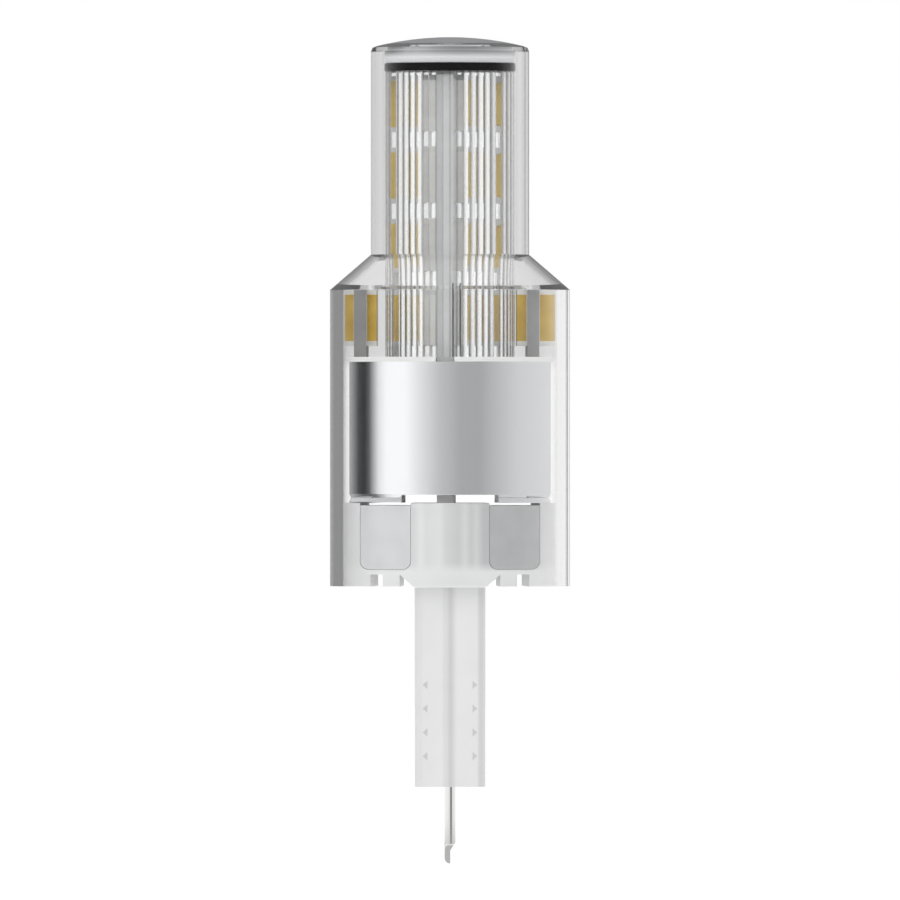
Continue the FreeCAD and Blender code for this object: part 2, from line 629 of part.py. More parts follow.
def driver_nodes():
    """What turns mains current into the LEDs' current, on both faces of the board."""
    lower = SLEEVE_BOTTOM + CHIP_FOOT_GAP + 2 * LEG_THICKNESS + CHIP_SIZE[2] / 2
    rectifier_foot = lower + CHIP_SIZE[2] / 2 + 4 * LEG_THICKNESS + DRIVER_PART_GAP
    rectifier_head = SLEEVE_TOP - DRIVER_PART_GAP - 2 * LEG_THICKNESS
    rectifier_size = (RECTIFIER_DEPTH, RECTIFIER_WIDTH, rectifier_head - rectifier_foot)
    upper = (rectifier_head + rectifier_foot) / 2
    chip_y = -(CHIP_SIZE[1] + DRIVER_PART_GAP) / 2
    capacitor_y = (INPUT_CAPACITOR_SIZE[1] + DRIVER_PART_GAP) / 2
    return {
        "smoothing_capacitor": smoothing_capacitor(),
        "bridge_rectifier": flat_part((0, upper), rectifier_size, 2, RECTIFIER_LEG_WIDTH),
        "driver_chip": flat_part((chip_y, lower), CHIP_SIZE, 3, CHIP_LEG_WIDTH),
        "input_capacitor": flat_part(
            (capacitor_y, lower), INPUT_CAPACITOR_SIZE, 1, INPUT_CAPACITOR_LEG_WIDTH
        ),
        "fuse_resistor": round_resistor(-1),
        "sense_resistor": round_resistor(1),
    }


def lamp_nodes():
    """Every sub-part of the lamp, by name."""
    nodes = {
        "clear_housing": clear_housing(),
        "top_cap": top_cap(),
        "cap_gasket": cap_gasket(),
        "fluted_light_tube": fluted_light_tube(),
        "circuit_board": circuit_board(),
        "reflector_disc": reflector_disc(),
        "metal_sleeve": metal_sleeve(),
        "base_plug": base_plug(),
        "potting_left": potting(-1),
        "potting_right": potting(1),
        "contact_loop_front": contact_loop(-1),
        "contact_loop_rear": contact_loop(1),
    }
    nodes.update(driver_nodes())
    nodes.update(led_nodes())
    nodes.update(side_nodes())
    return nodes


def main():
    """Writes one STEP file per sub-part."""
    os.makedirs("parts", exist_ok=True)
    for name, shape in lamp_nodes().items():
        shape.exportStep(f"parts/{name}.step")
        print(f"{name}: {len(shape.Solids)} solid, {shape.Volume:.2f} mm3, valid {shape.isValid()}")


main()
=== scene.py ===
"""Looks of an LED capsule lamp: clear stepped housing, fluted light tube, board, sleeve and plug.

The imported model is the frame. Every solid keeps its place and shape, and gets the finish of the
real piece. Lengths in the dataclasses are in millimetres unless their names say otherwise, and
MM turns them to Blender's metres. Left and right are -X and +X, as the camera sees them.
"""

import logging
import math
from dataclasses import dataclass, field
from typing import Iterable, Sequence

import bmesh
import bpy
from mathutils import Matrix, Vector


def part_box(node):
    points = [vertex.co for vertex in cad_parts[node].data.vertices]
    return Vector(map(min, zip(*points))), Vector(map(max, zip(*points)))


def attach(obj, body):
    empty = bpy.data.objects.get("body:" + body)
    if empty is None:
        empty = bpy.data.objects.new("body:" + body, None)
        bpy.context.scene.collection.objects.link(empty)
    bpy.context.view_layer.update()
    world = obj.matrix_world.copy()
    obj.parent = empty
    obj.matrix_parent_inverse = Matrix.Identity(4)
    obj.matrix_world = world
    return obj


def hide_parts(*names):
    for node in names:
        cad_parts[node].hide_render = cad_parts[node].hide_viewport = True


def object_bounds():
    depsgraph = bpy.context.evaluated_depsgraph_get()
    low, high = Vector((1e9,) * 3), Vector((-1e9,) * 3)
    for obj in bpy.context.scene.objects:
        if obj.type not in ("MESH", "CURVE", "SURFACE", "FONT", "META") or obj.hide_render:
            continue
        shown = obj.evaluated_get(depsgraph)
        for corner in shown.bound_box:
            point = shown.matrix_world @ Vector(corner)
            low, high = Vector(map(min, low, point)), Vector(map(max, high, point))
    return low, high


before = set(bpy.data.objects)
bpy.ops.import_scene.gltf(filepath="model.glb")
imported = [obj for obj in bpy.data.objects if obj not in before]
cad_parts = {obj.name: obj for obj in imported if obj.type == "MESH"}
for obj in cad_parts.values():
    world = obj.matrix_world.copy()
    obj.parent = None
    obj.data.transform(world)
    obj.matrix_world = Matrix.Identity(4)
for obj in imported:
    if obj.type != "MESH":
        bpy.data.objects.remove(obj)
CAD_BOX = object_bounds()
MM = 0.001
LOG = logging.getLogger("led_capsule_lamp")
Colour = tuple[float, float, float, float]
Levels = tuple[tuple[float, float], ...]
# Nearly all of a noise texture's values lie between these
NOISE_RANGE = (0.3, 0.7)
# Between no bounce and one, to compare a count of bounces with
FIRST_BOUNCE = 0.5


def linear(code: str, alpha: float = 1.0) -> Colour:
    """Turns an sRGB hex colour to linear light.

    Args:
        code: Six hex digits, such as "E4E6E6".
        alpha: The fourth value of the result.

    Returns:
        Red, green, blue and alpha in linear light.
    """
    values = [int(code[i:i + 2], 16) / 255 for i in (0, 2, 4)]
    red, green, blue = (
        v / 12.92 if v <= 0.04045 else ((v + 0.055) / 1.055) ** 2.4 for v in values
    )
    return red, green, blue, alpha


def grey(level: float) -> Colour:
    """A neutral colour of one linear level."""
    return level, level, level, 1.0


def add_node(
    tree: bpy.types.NodeTree,
    kind: str,
    settings: dict[str, object] | None = None,
    **inputs: object,
) -> bpy.types.Node:
    """Adds one shader node with its settings and what feeds its inputs.

    Args:
        tree: The node tree that gets the node.
        kind: Blender's name of the node, such as "ShaderNodeMath".
        settings: Attributes of the node, by name.
        inputs: Each input by its name with spaces as underscores, or in0, in1 by its number. A
            value is an output socket to link, a node whose first output is linked, or a constant.

    Returns:
        The new node.
    """
    node = tree.nodes.new(kind)
    for name, value in (settings or {}).items():
        setattr(node, name, value)
    for name, value in inputs.items():
        by_number = name.startswith("in") and name[2:].isdigit()
        socket = node.inputs[int(name[2:]) if by_number else name.replace("_", " ")]
        if isinstance(value, bpy.types.Node):
            value = value.outputs[0]
        if isinstance(value, bpy.types.NodeSocket):
            tree.links.new(value, socket)
        else:
            socket.default_value = value
    return node


def grain_normal(
    tree: bpy.types.NodeTree, grain_mm: float, height_mm: float, strength: float
) -> bpy.types.Node:
    """Bump of a real grain size.

    Args:
        tree: The material's node tree.
        grain_mm: Width of one grain.
        height_mm: Height of the grain.
        strength: Share of the bump that shows.

    Returns:
        The bump node, whose output is the normal.
    """
    grain = add_node(
        tree, "ShaderNodeTexNoise", Vector=add_node(tree, "ShaderNodeTexCoord").outputs["Object"],
        Scale=1 / (grain_mm * MM), Detail=2.0, Roughness=0.5,
    )
    return add_node(tree, "ShaderNodeBump", Strength=strength, Distance=height_mm * MM, Height=grain)


def uneven(
    tree: bpy.types.NodeTree, patch_mm: float, least: float, most: float
) -> bpy.types.Node:
    """A number that wanders over the surface.

    Args:
        tree: The material's node tree.
        patch_mm: Width of one patch.
        least: The number in the lowest patches.
        most: The number in the highest patches.

    Returns:
        The node whose output is the number.
    """
    patches = add_node(
        tree, "ShaderNodeTexNoise", Vector=add_node(tree, "ShaderNodeTexCoord").outputs["Object"],
        Scale=1 / (patch_mm * MM), Detail=2.0,
    )
    return add_node(
        tree, "ShaderNodeMapRange", Value=patches, From_Min=NOISE_RANGE[0], From_Max=NOISE_RANGE[1],
        To_Min=least, To_Max=most,
    )


def object_place(tree: bpy.types.NodeTree) -> bpy.types.bpy_prop_collection:
    """X, Y and Z of the surface point on its object, in metres."""
    place = add_node(tree, "ShaderNodeTexCoord").outputs["Object"]
    return add_node(tree, "ShaderNodeSeparateXYZ", Vector=place).outputs


def level_by_place(
    tree: bpy.types.NodeTree,
    place: bpy.types.NodeSocket | bpy.types.Node,
    limit: float,
    levels: Sequence[tuple[float, float]],
    highest: float = 1.0,
) -> bpy.types.Node:
    """Turns a place to a level.

    Args:
        tree: The node tree.
        place: The place, from minus the limit to the limit.
        limit: The limit.
        levels: Pairs of place and level, in order.
        highest: The highest level that the pairs may have.

    Returns:
        The node whose output is the level.
    """
    share = add_node(
        tree, "ShaderNodeMapRange", Value=place, From_Min=-limit, From_Max=limit, To_Min=0.0,
        To_Max=1.0,
    )
    ramp = add_node(tree, "ShaderNodeValToRGB", Fac=share)
    stops = ramp.color_ramp.elements
    for number, (where, level) in enumerate(levels):
        position = (where / limit + 1) / 2
        stop = stops[number] if number < len(stops) else stops.new(position)
        stop.position = position
        stop.color = grey(level / highest)
    return add_node(tree, "ShaderNodeMath", {"operation": "MULTIPLY"}, in0=ramp, in1=highest)


@dataclass(frozen=True)
class Finish:
    """A real material and how its surface was made."""

    name: str

    def make(self) -> bpy.types.Material:
        """Makes the material.

        Returns:
            The new material, with its nodes.
        """
        material = bpy.data.materials.new(self.name)
        material.use_nodes = True
        material.node_tree.nodes.clear()
        self.paint(material.node_tree)
        return material

    def paint(self, tree: bpy.types.NodeTree) -> None:
        """Fills the material's node tree."""
        raise NotImplementedError(self.name)


@dataclass(frozen=True)
class ClearPlastic(Finish):
    """Clear polycarbonate.

    Smooth and glassy: it bends what is behind it, and a faint grey shows where much of it is
    looked through. Its polish varies a little. Shadow rays pass, as light does through the real one.
    """

    tint: str = "FFFFFF"
    ior: float = 1.58
    roughest: float = 0.012
    polish_patch_mm: float = 3.0
    shadow: str = "F0F1F1"
    absorption: str = "D8DADB"
    density_per_mm: float = 0.02

    def colour(self, tree: bpy.types.NodeTree) -> bpy.types.NodeSocket | Colour:
        """What the surface lets through."""
        return linear(self.tint)

    def paint(self, tree: bpy.types.NodeTree) -> None:
        """Fills the material's node tree.

        Args:
            tree: The tree that gets the nodes.
        """
        glass = add_node(
            tree, "ShaderNodeBsdfPrincipled", Base_Color=self.colour(tree), IOR=self.ior,
            Roughness=uneven(tree, self.polish_patch_mm, 0.0, self.roughest), Transmission_Weight=1.0,
        )
        clear = add_node(tree, "ShaderNodeBsdfTransparent", Color=linear(self.shadow))
        path = add_node(tree, "ShaderNodeLightPath")
        mix = add_node(
            tree, "ShaderNodeMixShader", in0=path.outputs["Is Shadow Ray"], in1=glass, in2=clear,
        )
        volume = add_node(
            tree, "ShaderNodeVolumeAbsorption", Color=linear(self.absorption),
            Density=self.density_per_mm / MM,
        )
        add_node(tree, "ShaderNodeOutputMaterial", Surface=mix, Volume=volume)


@dataclass(frozen=True)
class RibbedPlastic(ClearPlastic):
    """Clear polycarbonate, extruded with ribs in its bore.

    Between each two ribs the valleys get a grey line of painted shade, some stronger than others,
    so fine upright lines show all round the tube, and the painted shade is darker at its foot, where
    less light reaches. Some ribs came out of the die duller than others. Two near black lines stand
    side by side at the foot of its front.
    The valley lines are wider than real ones, which would be too fine to see.
    """

    # Grey painted into the valleys between ribs as painted shade
    valley_shade: str = "6E6F70"
    ribs: int = 56
    bore_mm: float = 3.5
    bore_margin_mm: float = 0.4
    valley_share: float = 0.2
    faintest: float = 0.25
    # Heights over which the painted shade in the valleys weakens from full at the foot to the share
    # above it
    shaded_foot_mm: tuple[float, float] = (15.0, 18.5)
    shade_above_foot: float = 0.7
    dull_rib: str = "C8C9CB"
    clear_ribs: float = 0.4
    dark_line: str = "17181A"
    dark_lines_degrees: tuple[float, ...] = (-87.2, -80.2)
    dark_line_width_degrees: float = 1.6
    dark_lines_top_mm: float = 18.7

    def valleys(
        self, tree: bpy.types.NodeTree, place: bpy.types.bpy_prop_collection, count: bpy.types.Node
    ) -> bpy.types.Node:
        """Painted shade in the valleys, each line of its own strength and stronger at the foot.

        Args:
            tree: The material's node tree.
            place: The surface point's X, Y and Z, in metres.
            count: Node whose output counts ribs round the axis and is whole in a valley.

        Returns:
            The node whose output is how much of the painted shade shows.
        """
        nearest = add_node(tree, "ShaderNodeMath", {"operation": "ROUND"}, in0=count)
        away = add_node(tree, "ShaderNodeMath", {"operation": "SUBTRACT"}, in0=count, in1=nearest)
        aside = add_node(tree, "ShaderNodeMath", {"operation": "ABSOLUTE"}, in0=away)
        line = add_node(
            tree, "ShaderNodeMapRange", {"interpolation_type": "SMOOTHSTEP"}, Value=aside,
            From_Min=self.valley_share / 2, From_Max=self.valley_share, To_Min=1.0, To_Max=0.0,
        )
        own = add_node(tree, "ShaderNodeTexWhiteNoise", {"noise_dimensions": "1D"}, W=nearest)
        strength = add_node(
            tree, "ShaderNodeMapRange", Value=own, From_Min=0.0, From_Max=1.0, To_Min=self.faintest,
            To_Max=1.0,
        )
        foot = add_node(
            tree, "ShaderNodeMapRange", Value=place["Z"], From_Min=self.shaded_foot_mm[0] * MM,
            From_Max=self.shaded_foot_mm[1] * MM, To_Min=1.0, To_Max=self.shade_above_foot,
        )
        for factor in (strength, foot):
            line = add_node(tree, "ShaderNodeMath", {"operation": "MULTIPLY"}, in0=line, in1=factor)
        return line

    def dull_ribs(self, tree: bpy.types.NodeTree, count: bpy.types.Node) -> bpy.types.Node:
        """Dullness of each rib.

        Args:
            tree: The material's node tree.
            count: Node whose output counts ribs round the axis and is whole in a valley.

        Returns:
            The node whose output is how much of the dull rib's colour shows.
        """
        rib = add_node(tree, "ShaderNodeMath", {"operation": "FLOOR"}, in0=count)
        own = add_node(tree, "ShaderNodeTexWhiteNoise", {"noise_dimensions": "1D"}, W=rib)
        return add_node(
            tree, "ShaderNodeMapRange", Value=own, From_Min=self.clear_ribs, From_Max=1.0, To_Min=0.0,
            To_Max=1.0,
        )

    def dark_lines(
        self, tree: bpy.types.NodeTree, place: bpy.types.bpy_prop_collection, turn: bpy.types.Node
    ) -> bpy.types.Node:
        """Lines at the foot of the tube's front.

        Args:
            tree: The material's node tree.
            place: The surface point's X, Y and Z, in metres.
            turn: Node whose output is the turn round the axis, in radians.

        Returns:
            The node whose output is 1 in a line and 0 elsewhere.
        """
        low = add_node(
            tree, "ShaderNodeMath", {"operation": "LESS_THAN"}, in0=place["Z"],
            in1=self.dark_lines_top_mm * MM,
        )
        either: bpy.types.Node | float = 0.0
        for degrees in self.dark_lines_degrees:
            line = add_node(
                tree, "ShaderNodeMath", {"operation": "COMPARE"}, in0=turn, in1=math.radians(degrees),
                in2=math.radians(self.dark_line_width_degrees / 2),
            )
            either = add_node(tree, "ShaderNodeMath", {"operation": "MAXIMUM"}, in0=either, in1=line)
        return add_node(tree, "ShaderNodeMath", {"operation": "MULTIPLY"}, in0=either, in1=low)

    def in_bore(
        self, tree: bpy.types.NodeTree, place: bpy.types.bpy_prop_collection
    ) -> bpy.types.Node:
        """Tells the bore from the outside.

        Args:
            tree: The material's node tree.
            place: The surface point's X, Y and Z, in metres.

        Returns:
            The node whose output is 1 in the bore and 0 outside.
        """
        flat = add_node(tree, "ShaderNodeCombineXYZ", X=place["X"], Y=place["Y"])
        reach = add_node(tree, "ShaderNodeVectorMath", {"operation": "LENGTH"}, in0=flat)
        return add_node(
            tree, "ShaderNodeMath", {"operation": "LESS_THAN"}, in0=reach.outputs["Value"],
            in1=(self.bore_mm + self.bore_margin_mm) * MM,
        )

    def colour(self, tree: bpy.types.NodeTree) -> bpy.types.NodeSocket | Colour:
        """What the surface lets through: less at the bore's dull ribs, the painted shade of its
        valleys and dark lines.

        Args:
            tree: The material's node tree.

        Returns:
            The output with the colour.
        """
        place = object_place(tree)
        turn = add_node(
            tree, "ShaderNodeMath", {"operation": "ARCTAN2"}, in0=place["Y"], in1=place["X"],
        )
        count = add_node(
            tree, "ShaderNodeMath", {"operation": "MULTIPLY"}, in0=turn, in1=self.ribs / math.tau,
        )
        bore = self.in_bore(tree, place)
        result: bpy.types.NodeSocket | Colour = linear(self.tint)
        # The dull ribs are the plastic's own random tone; the valleys get painted shade
        for amount, colour in (
            (self.dull_ribs(tree, count), self.dull_rib),
            (self.valleys(tree, place, count), self.valley_shade),
            (self.dark_lines(tree, place, turn), self.dark_line),
        ):
            inside = add_node(tree, "ShaderNodeMath", {"operation": "MULTIPLY"}, in0=amount, in1=bore)
            result = add_node(
                tree, "ShaderNodeMix", {"data_type": "RGBA"}, in0=inside, in6=result,
                in7=linear(colour),
            ).outputs[2]
        return result


@dataclass(frozen=True)
class MilkyPlastic(Finish):
    """Natural polypropylene, injection moulded.

    Milky: light goes in and comes out soft. Soft grey bands and marks of painted shade stand where
    the webs in the cup, the wires in the stem and the teeth in its side recesses would shade it, and
    the thin floor is painted whitest, as painted light. Bands are pairs of millimetres along X and
    whiteness, from 0 to 1.
    """

    white: str = "FBFBFB"
    shade: str = "B6B6B8"
    ior: float = 1.49
    roughness: float = 0.3
    clear_share: float = 0.1
    # Grey bands of painted shade along X, one set for the cup and one for the stem
    cup_shade_bands: Levels = (
        (-7.5, 0.80), (-6.0, 0.86), (-4.9, 0.95), (-4.4, 0.80), (-2.5, 0.62), (-2.1, 0.78),
        (-1.75, 1.00), (-1.4, 0.84), (-0.6, 0.94), (-0.25, 0.72), (0.5, 0.56), (0.9, 0.78),
        (1.25, 0.52), (1.6, 0.70), (2.0, 0.34), (2.6, 0.30), (5.0, 0.60), (5.6, 0.80), (7.5, 0.80),
    )
    stem_shade_bands: Levels = (
        (-7.5, 0.52), (-2.2, 0.46), (-2.1, 0.36), (-1.9, 0.42), (-1.6, 0.50), (-0.5, 0.52),
        (-0.4, 0.42), (-0.15, 0.36), (-0.02, 0.20), (0.1, 0.22), (0.25, 0.38), (0.45, 0.52),
        (1.7, 0.50), (1.8, 0.26), (2.0, 0.28), (2.15, 0.40), (7.5, 0.52),
    )
    widest_mm: float = 7.5
    stem_top_mm: float = -0.05
    # Heights over which the thin floor's painted light gives way to the cup's bands
    lit_floor_mm: tuple[float, float] = (0.9, 1.5)
    patch_mm: float = 1.5
    patch_depth: float = 0.02
    grain_mm: float = 0.25
    grain_height_mm: float = 0.004
    grain_strength: float = 0.3
    # The teeth's marks are painted shade
    tooth_floor_mm: float = 1.4
    tooth_rise_mm: float = 0.32
    tooth_base_mm: float = 0.55
    tooth_pitch_mm: float = 1.48
    first_tooth_mm: float = 6.1
    teeth: int = 4
    tooth_shade: float = 0.35
    tooth_edge: tuple[float, float] = (0.8, 1.1)

    def tooth_shade_marks(
        self, tree: bpy.types.NodeTree, place: bpy.types.bpy_prop_collection
    ) -> bpy.types.Node:
        """Painted shade marks of the sharp teeth in the stem's side recesses.

        Args:
            tree: The material's node tree.
            place: The surface point's X, Y and Z, in metres.

        Returns:
            The node whose output is how much whiteness the marks take.
        """
        aside = add_node(tree, "ShaderNodeMath", {"operation": "ABSOLUTE"}, in0=place["X"])
        out = add_node(
            tree, "ShaderNodeMapRange", {"clamp": False}, Value=aside,
            From_Min=self.tooth_floor_mm * MM,
            From_Max=(self.tooth_floor_mm + self.tooth_rise_mm) * MM, To_Min=0.0, To_Max=1.0,
        )
        count = add_node(
            tree, "ShaderNodeMapRange", {"clamp": False}, Value=place["Z"],
            From_Min=-self.first_tooth_mm * MM,
            From_Max=-(self.first_tooth_mm + self.tooth_pitch_mm) * MM, To_Min=0.0, To_Max=1.0,
        )
        nearest = add_node(tree, "ShaderNodeMath", {"operation": "ROUND"}, in0=count)
        away = add_node(tree, "ShaderNodeMath", {"operation": "SUBTRACT"}, in0=count, in1=nearest)
        apart = add_node(tree, "ShaderNodeMath", {"operation": "ABSOLUTE"}, in0=away)
        slope = add_node(
            tree, "ShaderNodeMath", {"operation": "MULTIPLY"}, in0=apart,
            in1=2 * self.tooth_pitch_mm / self.tooth_base_mm,
        )
        reach = add_node(tree, "ShaderNodeMath", {"operation": "ADD"}, in0=slope, in1=out)
        mark = add_node(
            tree, "ShaderNodeMapRange", Value=reach, From_Min=self.tooth_edge[0],
            From_Max=self.tooth_edge[1], To_Min=self.tooth_shade, To_Max=0.0,
        )
        beyond = add_node(tree, "ShaderNodeMath", {"operation": "GREATER_THAN"}, in0=out, in1=0.0)
        real = add_node(
            tree, "ShaderNodeMath", {"operation": "COMPARE"}, in0=nearest, in1=(self.teeth - 1) / 2,
            in2=self.teeth / 2,
        )
        for mask in (beyond, real):
            mark = add_node(tree, "ShaderNodeMath", {"operation": "MULTIPLY"}, in0=mark, in1=mask)
        return mark

    def paint(self, tree: bpy.types.NodeTree) -> None:
        """Fills the material's node tree.

        Args:
            tree: The tree that gets the nodes.
        """
        place = object_place(tree)
        cup, stem = (
            level_by_place(tree, place["X"], self.widest_mm * MM, [(x * MM, y) for x, y in bands])
            for bands in (self.cup_shade_bands, self.stem_shade_bands)
        )
        # The thin floor is painted whitest, as painted light
        above_floor = add_node(
            tree, "ShaderNodeMapRange", Value=place["Z"], From_Min=self.lit_floor_mm[0] * MM,
            From_Max=self.lit_floor_mm[1] * MM, To_Min=0.0, To_Max=1.0,
        )
        cup = add_node(
            tree, "ShaderNodeMix", {"data_type": "FLOAT"}, in0=above_floor, in2=1.0, in3=cup,
        )
        above_stem = add_node(
            tree, "ShaderNodeMath", {"operation": "GREATER_THAN"}, in0=place["Z"],
            in1=self.stem_top_mm * MM,
        )
        level = add_node(
            tree, "ShaderNodeMix", {"data_type": "FLOAT"}, in0=above_stem, in2=stem, in3=cup,
        )
        patches = uneven(tree, self.patch_mm, -self.patch_depth, self.patch_depth)
        # The teeth's painted shade and the plastic's own uneven tone take whiteness off
        for taken in (self.tooth_shade_marks(tree, place), patches):
            level = add_node(
                tree, "ShaderNodeMath", {"operation": "SUBTRACT", "use_clamp": True}, in0=level,
                in1=taken,
            )
        colour = add_node(
            tree, "ShaderNodeMix", {"data_type": "RGBA"}, in0=level, in6=linear(self.shade),
            in7=linear(self.white),
        )
        shader = add_node(
            tree, "ShaderNodeBsdfPrincipled", Base_Color=colour.outputs[2], IOR=self.ior,
            Roughness=self.roughness, Transmission_Weight=self.clear_share,
            Normal=grain_normal(tree, self.grain_mm, self.grain_height_mm, self.grain_strength),
        )
        add_node(tree, "ShaderNodeOutputMaterial", Surface=shader)


@dataclass(frozen=True)
class Metal(Finish):
    """A metal with fine marks of how it was worked, and a polish that varies a little."""

    colour: str
    roughness: float
    mark_mm: float = 0.05
    mark_height_mm: float = 0.0006
    strength: float = 0.2
    polish_patch_mm: float = 2.0
    polish_change: float = 0.1

    def tone(self, tree: bpy.types.NodeTree) -> bpy.types.NodeSocket | Colour:
        """The metal's colour."""
        return linear(self.colour)

    def metal_share(self, tree: bpy.types.NodeTree) -> bpy.types.Node | float:
        """How metallic the surface is: 1 all over."""
        return 1.0

    def paint(self, tree: bpy.types.NodeTree) -> None:
        """Fills the material's node tree.

        Args:
            tree: The tree that gets the nodes.
        """
        least, most = (
            self.roughness * (1 + change) for change in (-self.polish_change, self.polish_change)
        )
        shader = add_node(
            tree, "ShaderNodeBsdfPrincipled", Base_Color=self.tone(tree), Metallic=self.metal_share(tree),
            Roughness=uneven(tree, self.polish_patch_mm, least, most),
            Normal=grain_normal(tree, self.mark_mm, self.mark_height_mm, self.strength),
        )
        add_node(tree, "ShaderNodeOutputMaterial", Surface=shader)


@dataclass(frozen=True)
class LippedMetal(Metal):
    """A pressed metal cap, satin on its crown, with a white painted highlight round its lip."""

    lip_highlight: str = "EDEEEF"
    lip_highlight_mm: tuple[float, float] = (33.0, 33.4)

    def metal_share(self, tree: bpy.types.NodeTree) -> bpy.types.Node:
        """How metallic the surface is: 0 in the painted highlight round the lip, 1 above it."""
        return add_node(
            tree, "ShaderNodeMapRange", Value=object_place(tree)["Z"], From_Min=self.lip_highlight_mm[0] * MM,
            From_Max=self.lip_highlight_mm[1] * MM, To_Min=0.0, To_Max=1.0,
        )

    def tone(self, tree: bpy.types.NodeTree) -> bpy.types.NodeSocket:
        """The painted highlight's white below, the metal's colour above."""
        mix = add_node(
            tree, "ShaderNodeMix", {"data_type": "RGBA"}, in0=self.metal_share(tree),
            in6=linear(self.lip_highlight), in7=linear(self.colour),
        )
        return mix.outputs[2]


@dataclass(frozen=True)
class Solid(Finish):
    """An opaque moulded, coated or cast surface with a slight mottle and grain."""

    colour: str
    mottle: str
    roughness: float
    ior: float = 1.5
    gloss: float = 0.5
    mottle_mm: float = 1.2
    grain_mm: float = 0.15
    grain_height_mm: float = 0.002
    strength: float = 0.3

    def paint(self, tree: bpy.types.NodeTree) -> None:
        """Fills the material's node tree.

        Args:
            tree: The tree that gets the nodes.
        """
        colour = add_node(
            tree, "ShaderNodeMix", {"data_type": "RGBA"}, in0=uneven(tree, self.mottle_mm, 0.0, 1.0),
            in6=linear(self.colour), in7=linear(self.mottle),
        )
        shader = add_node(
            tree, "ShaderNodeBsdfPrincipled", Base_Color=colour.outputs[2], IOR=self.ior,
            Roughness=self.roughness, Specular_IOR_Level=self.gloss,
            Normal=grain_normal(tree, self.grain_mm, self.grain_height_mm, self.strength),
        )
        add_node(tree, "ShaderNodeOutputMaterial", Surface=shader)


# Polished and glassy: bends what stands behind it, goes grey at its edges
HOUSING_PLASTIC = ClearPlastic("clear_polycarbonate_moulded")
# Glassy, with fine upright lines of painted shade that cut what is behind it into strips
LIGHT_TUBE_PLASTIC = RibbedPlastic("clear_polycarbonate_extruded")
# Soft mirror: one dark and one white upright band, shading off to mid grey
SLEEVE_METAL = Metal("aluminium_drawn_satin", "EAEBED", 0.09)
# Even satin grey with no sharp reflections, and a white line of painted highlight round its lip
CAP_METAL = LippedMetal("aluminium_pressed_satin", "A7A8AA", 0.4)
# Bright hard shine with thin dark lines along the wire
WIRE_METAL = Metal(
    "nickel_plated_steel_wire", "F4F4F2", 0.03, mark_mm=0.1, mark_height_mm=0.0002, strength=0.05,
)
# Deep black with hardly any shine
GASKET_RUBBER = Solid("black_silicone_rubber_moulded", "060606", "0B0B0B", 0.3, ior=1.41, gloss=0.05)
# White lacquer with a low sheen
BOARD_MASK = Solid("glass_epoxy_board_white_mask", "F4F4F4", "ECECEC", 0.4)
# Mid grey, slightly warm metal core under a matt mask
SIDE_BOARD_CORE = Solid("aluminium_core_board_grey_mask", "999999", "8E8E90", 0.4)
# Flat bright white, like card
DISC_PLASTIC = Solid("white_polyester_film_die_cut", "F8F8F7", "F2F2F1", 0.5)
# Dull white rim round the phosphor
CASE_RESIN = Solid("white_resin_led_case_moulded", "F2F1EE", "E8E6E1", 0.45)
# Deep yellow with a waxy sheen, a little uneven where it was dispensed
PHOSPHOR = Solid("phosphor_silicone_dispensed", "DCB844", "CDA52F", 0.35)
# The same gel in the smaller LEDs of the main board, a brighter yellow
BRIGHT_PHOSPHOR = Solid("phosphor_silicone_dispensed_thin", "F2CC3C", "E6BE30", 0.35)
# Milky white that lets light soak in, with grey bands and marks of painted shade and a floor painted
# whitest
PLUG_PLASTIC = MilkyPlastic("natural_polypropylene_moulded")
# Pale grey, level and slightly shiny, as it set: the left pocket's copy, painted lighter as painted
# light from the left
POTTING_PAINTED_LIGHT = Solid("grey_silicone_potting_cast_painted_light", "E2E3E4", "DADBDC", 0.4)
# The same compound, a shade darker: the right pocket's copy, painted darker as painted shade
POTTING_PAINTED_SHADE = Solid("grey_silicone_potting_cast", "C0C1C2", "B8B9BA", 0.4)
# Dull black mould with a fine tooth
DRIVER_MOULD = Solid("black_epoxy_chip_moulded", "1B1B1C", "242426", 0.6)
# Smooth black skin
CAPACITOR_SLEEVE = Solid("black_pvc_sleeve_shrunk", "141417", "1C1C20", 0.35)
# Sandy brown and matt
CERAMIC = Solid("sintered_ceramic", "9A7F5C", "8D7250", 0.5)
# Grey green with a lacquer's shine
RESISTOR_LACQUER = Solid("lacquered_resistor_body", "7F8F88", "75857E", 0.35)


def dress(names: Iterable[str], material: bpy.types.Material) -> None:
    """Gives CAD nodes a material on all their faces.

    Args:
        names: The nodes' names.
        material: The material.
    """
    for name in names:
        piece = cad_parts[name]
        piece.data.materials.clear()
        piece.data.materials.append(material)
        LOG.info("%s: %s", name, material.name)


@dataclass
class Housing:
    """Clear barrel, shoulder and tube."""

    node: str = "clear_housing"

    def build(self) -> None:
        """Dresses the housing."""
        dress([self.node], HOUSING_PLASTIC.make())


@dataclass
class CapStack:
    """Domed cap and the black disc under it."""

    cap: str = "top_cap"
    gasket: str = "cap_gasket"

    def build(self) -> None:
        """Dresses the cap and the gasket."""
        dress([self.cap], CAP_METAL.make())
        dress([self.gasket], GASKET_RUBBER.make())


@dataclass(frozen=True)
class Notch:
    """A V notch along the bore: where it starts, how far it opens and closes, and its depth."""

    start_degrees: float
    opening_degrees: float
    closing_degrees: float
    depth_mm: float

    def spans(self, turn: float) -> bool:
        """Whether the notch takes up the place at this turn, in degrees."""
        return (turn - self.start_degrees) % 360 <= self.opening_degrees + self.closing_degrees


